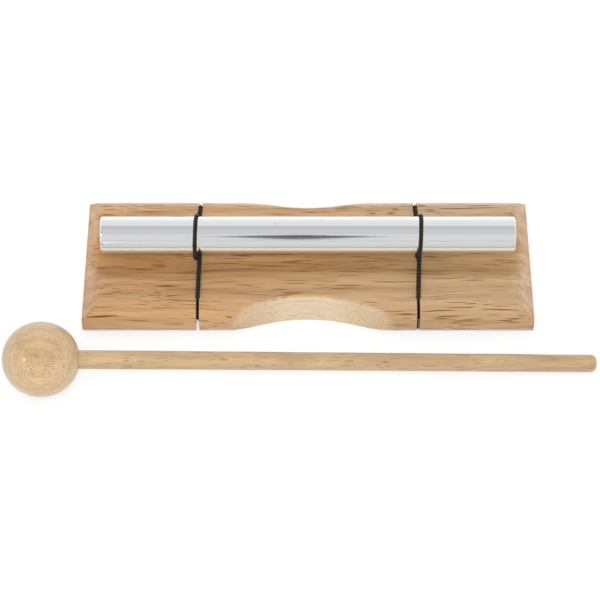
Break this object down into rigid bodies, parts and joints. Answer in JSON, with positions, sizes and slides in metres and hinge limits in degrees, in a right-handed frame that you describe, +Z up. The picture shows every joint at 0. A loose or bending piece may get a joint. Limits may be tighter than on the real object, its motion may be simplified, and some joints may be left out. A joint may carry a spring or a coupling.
{
  "type": "energy chime",
  "caption": "Solid metal chime rod hung on elastic cords above a wooden board with finger scoops, with a wooden ball mallet lying in front; the rod rings when it is struck.",
  "frame": {"origin": "middle of the board's flat underside", "axes": "+X along the rod, towards the mallet's butt; +Y from the mallet's side towards the back; +Z up"},
  "size_m": [0.2526, 0.1149, 0.0368],
  "materials": {
    "board_wood": "sanded and clear satin lacquered",
    "rod_aluminium": "polished",
    "elastic_cord": "braided cover",
    "mallet_wood": "turned, sanded and clear satin lacquered"
  },
  "bodies": {
    "base": {"base_block": "board_wood"},
    "suspension": {"left_cord": "elastic_cord", "right_cord": "elastic_cord"},
    "rod": {"sound_rod": "rod_aluminium"},
    "mallet": {"mallet_head": "mallet_wood", "mallet_handle": "mallet_wood"}
  },
  "joints": [
    {"name": "rod_bounce", "type": "slide", "parent": "base", "child": "suspension", "axis": [0, 0, 1], "range_m": [-0.0018, 0.004], "stiffness_N_per_m": 800, "springref_m": 0.0012, "deforming": ["left_cord", "right_cord"]},
    {"name": "rod_endways", "type": "slide", "parent": "suspension", "child": "rod", "axis": [1, 0, 0], "range_m": [-0.0075, 0.0075]},
    {"name": "mallet_lift", "type": "slide", "parent": "base", "child": "mallet", "axis": [0, 0, 1], "range_m": [0, 0.08]}
  ]
}
